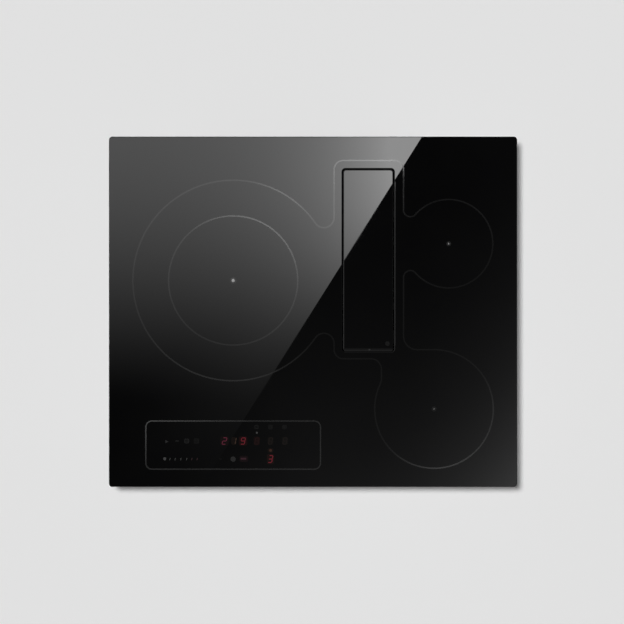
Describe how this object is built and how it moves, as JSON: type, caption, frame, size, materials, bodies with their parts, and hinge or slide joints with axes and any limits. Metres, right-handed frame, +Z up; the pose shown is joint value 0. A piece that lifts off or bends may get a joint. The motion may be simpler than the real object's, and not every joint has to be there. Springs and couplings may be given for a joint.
{
  "type": "downdraft induction cooktop",
  "caption": "Frameless black glass induction hob with three ringed zones, a touch panel, a glass flap over the extraction well, and a casing below with the blower and a rear duct outlet.",
  "frame": {"origin": "middle of the footprint, on the underside of the casing", "axes": "+Z up out of the glass, +X to the cook's right, +Y to the rear, where the duct leaves"},
  "size_m": [0.6, 0.515, 0.21],
  "materials": {
    "black_glass": "polished black glass-ceramic, mirror gloss, ground edge",
    "zinc_sheet": "galvanised steel sheet, satin with faint spangle",
    "steel": "spring and screw steel, satin",
    "filter_steel": "pressed stainless filter sheet, satin",
    "black_plastic": "moulded black plastic, fine matte grain",
    "grey_plastic": "moulded dark grey plastic, matte",
    "foam": "closed-cell foam tape, matte",
    "rubber": "soft black rubber, matte",
    "winding": "wound enamelled copper wire, satin",
    "mica": "pressed mica sheet, matte with flecks",
    "aluminium": "mill finish aluminium",
    "circuit": "green solder-masked board",
    "display": "dark red-tinted display block",
    "carbon": "pressed activated carbon honeycomb",
    "motor": "zinc-plated motor case"
  },
  "bodies": {
    "hob": {"glass_top": "black_glass", "rim_seal": "foam", "vent_gasket": "rubber", "hob_tray": "zinc_sheet", "filter_well": "black_plastic", "latch_body": "black_plastic", "left_coil_carrier": "aluminium", "left_outer_coil": "winding", "left_inner_coil": "winding", "left_insulation": "mica", "left_sensor": "grey_plastic", "rear_coil_carrier": "aluminium", "rear_coil": "winding", "rear_insulation": "mica", "rear_sensor": "grey_plastic", "front_coil_carrier": "aluminium", "front_coil": "winding", "front_insulation": "mica", "front_sensor": "grey_plastic", "left_generator_board": "circuit", "left_heatsink": "aluminium", "right_generator_board": "circuit", "right_heatsink": "aluminium", "left_fan_frame": "black_plastic", "right_fan_frame": "black_plastic", "touch_frame": "black_plastic", "touch_board": "circuit", "display_module": "display", "lower_casing": "black_plastic", "casing_screw_1": "steel", "casing_screw_2": "steel", "casing_screw_3": "steel", "casing_screw_4": "steel", "scroll_base": "black_plastic", "scroll_cover": "black_plastic", "fan_motor": "motor", "outlet_spigot": "black_plastic", "odour_filter": "carbon", "blower_control_box": "grey_plastic", "terminal_box": "grey_plastic", "terminal_lid": "grey_plastic", "cable_gland": "black_plastic", "front_left_clamp": "steel", "front_left_clamp_screw": "steel", "front_right_clamp": "steel", "front_right_clamp_screw": "steel", "rear_left_clamp": "steel", "rear_left_clamp_screw": "steel", "rear_right_clamp": "steel", "rear_right_clamp_screw": "steel"},
    "flap": {"flap_glass": "black_glass", "flap_carrier": "black_plastic"},
    "latch_plunger": {"latch_plunger": "black_plastic"},
    "grease_filter": {"grease_filter": "filter_steel", "filter_handle": "black_plastic"},
    "drip_drawer": {"drip_drawer": "grey_plastic"},
    "impeller": {"impeller": "grey_plastic"},
    "left_fan_rotor": {"left_fan_rotor": "grey_plastic"},
    "right_fan_rotor": {"right_fan_rotor": "grey_plastic"}
  },
  "joints": [
    {"name": "flap_hinge", "type": "hinge", "parent": "hob", "child": "flap", "pos_m": [0.0549, 0.0757, 0.2035], "axis": [0, -1, 0], "range_deg": [0, 100]},
    {"name": "latch_push", "type": "slide", "parent": "hob", "child": "latch_plunger", "axis": [0, 0, -1], "range_m": [0, 0.003], "stiffness_N_per_m": 150, "springref_m": -0.002},
    {"name": "grease_filter_lift", "type": "slide", "parent": "hob", "child": "grease_filter", "axis": [0, 0, 1], "range_m": [0, 0.005]},
    {"name": "drip_drawer_slide", "type": "slide", "parent": "hob", "child": "drip_drawer", "axis": [0, -1, 0], "range_m": [0, 0.24]},
    {"name": "impeller_spin", "type": "hinge", "parent": "hob", "child": "impeller", "pos_m": [-0.084, 0.04, 0.056], "axis": [0, 0, 1], "continuous": true},
    {"name": "left_fan_spin", "type": "hinge", "parent": "hob", "child": "left_fan_rotor", "pos_m": [-0.228, 0.02, 0.16], "axis": [0, 0, 1], "continuous": true},
    {"name": "right_fan_spin", "type": "hinge", "parent": "hob", "child": "right_fan_rotor", "pos_m": [0.212, -0.0214, 0.16], "axis": [0, 0, 1], "continuous": true}
  ]
}
